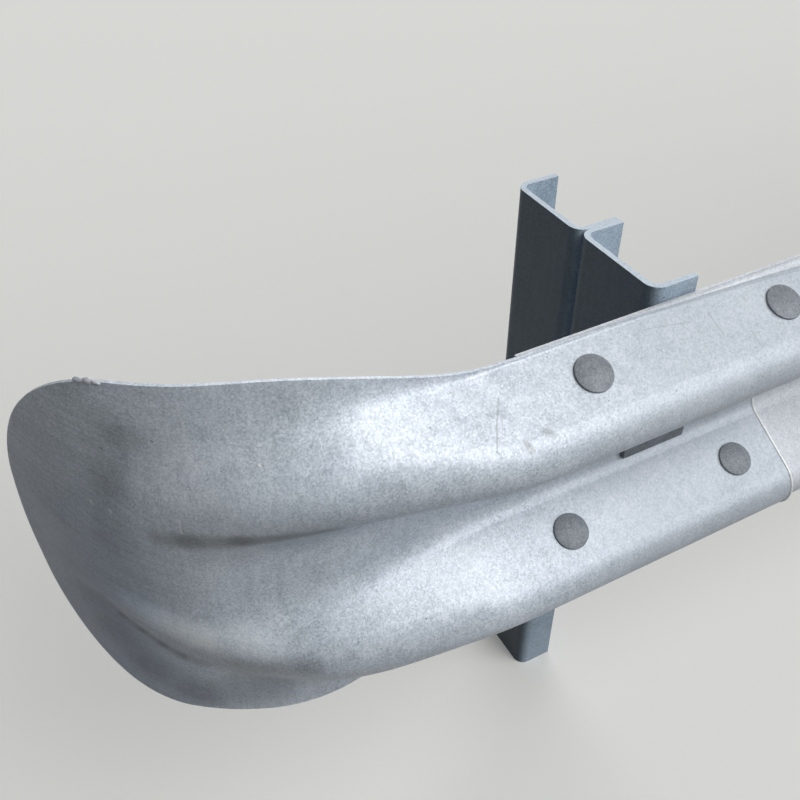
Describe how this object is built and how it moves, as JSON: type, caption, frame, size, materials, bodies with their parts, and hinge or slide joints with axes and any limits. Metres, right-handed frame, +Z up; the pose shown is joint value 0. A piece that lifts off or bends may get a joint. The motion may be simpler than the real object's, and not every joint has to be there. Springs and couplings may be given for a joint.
{
  "type": "highway guardrail section",
  "caption": "Galvanised two-wave highway guardrail on channel posts with channel blockouts, ended by a flared fishtail sheet lapped over the first beam.",
  "frame": {"origin": "middle of the web of the first post at ground level, on the face of mount post_1_foot", "axes": "+X along the rail away from the fishtail end, +Y away from the traffic, +Z up"},
  "size_m": [12.7215, 0.3097, 0.776],
  "materials": {
    "galvanised_beam": "hot-dip galvanised, matt with fine spangle",
    "galvanised_channel": "hot-dip galvanised, matt",
    "galvanised_plate": "hot-dip galvanised, weathered"
  },
  "bodies": {
    "root": {"end_terminal": "galvanised_beam", "rail_1": "galvanised_beam", "rail_2": "galvanised_beam", "rail_3": "galvanised_beam", "post_1": "galvanised_channel", "blockout_1": "galvanised_channel", "plate_washer_1": "galvanised_plate", "post_2": "galvanised_channel", "blockout_2": "galvanised_channel", "plate_washer_2": "galvanised_plate", "post_3": "galvanised_channel", "blockout_3": "galvanised_channel", "plate_washer_3": "galvanised_plate", "post_4": "galvanised_channel", "blockout_4": "galvanised_channel", "plate_washer_4": "galvanised_plate", "post_5": "galvanised_channel", "blockout_5": "galvanised_channel", "plate_washer_5": "galvanised_plate", "post_6": "galvanised_channel", "blockout_6": "galvanised_channel", "plate_washer_6": "galvanised_plate", "post_7": "galvanised_channel", "blockout_7": "galvanised_channel", "plate_washer_7": "galvanised_plate"}
  },
  "joints": []
}
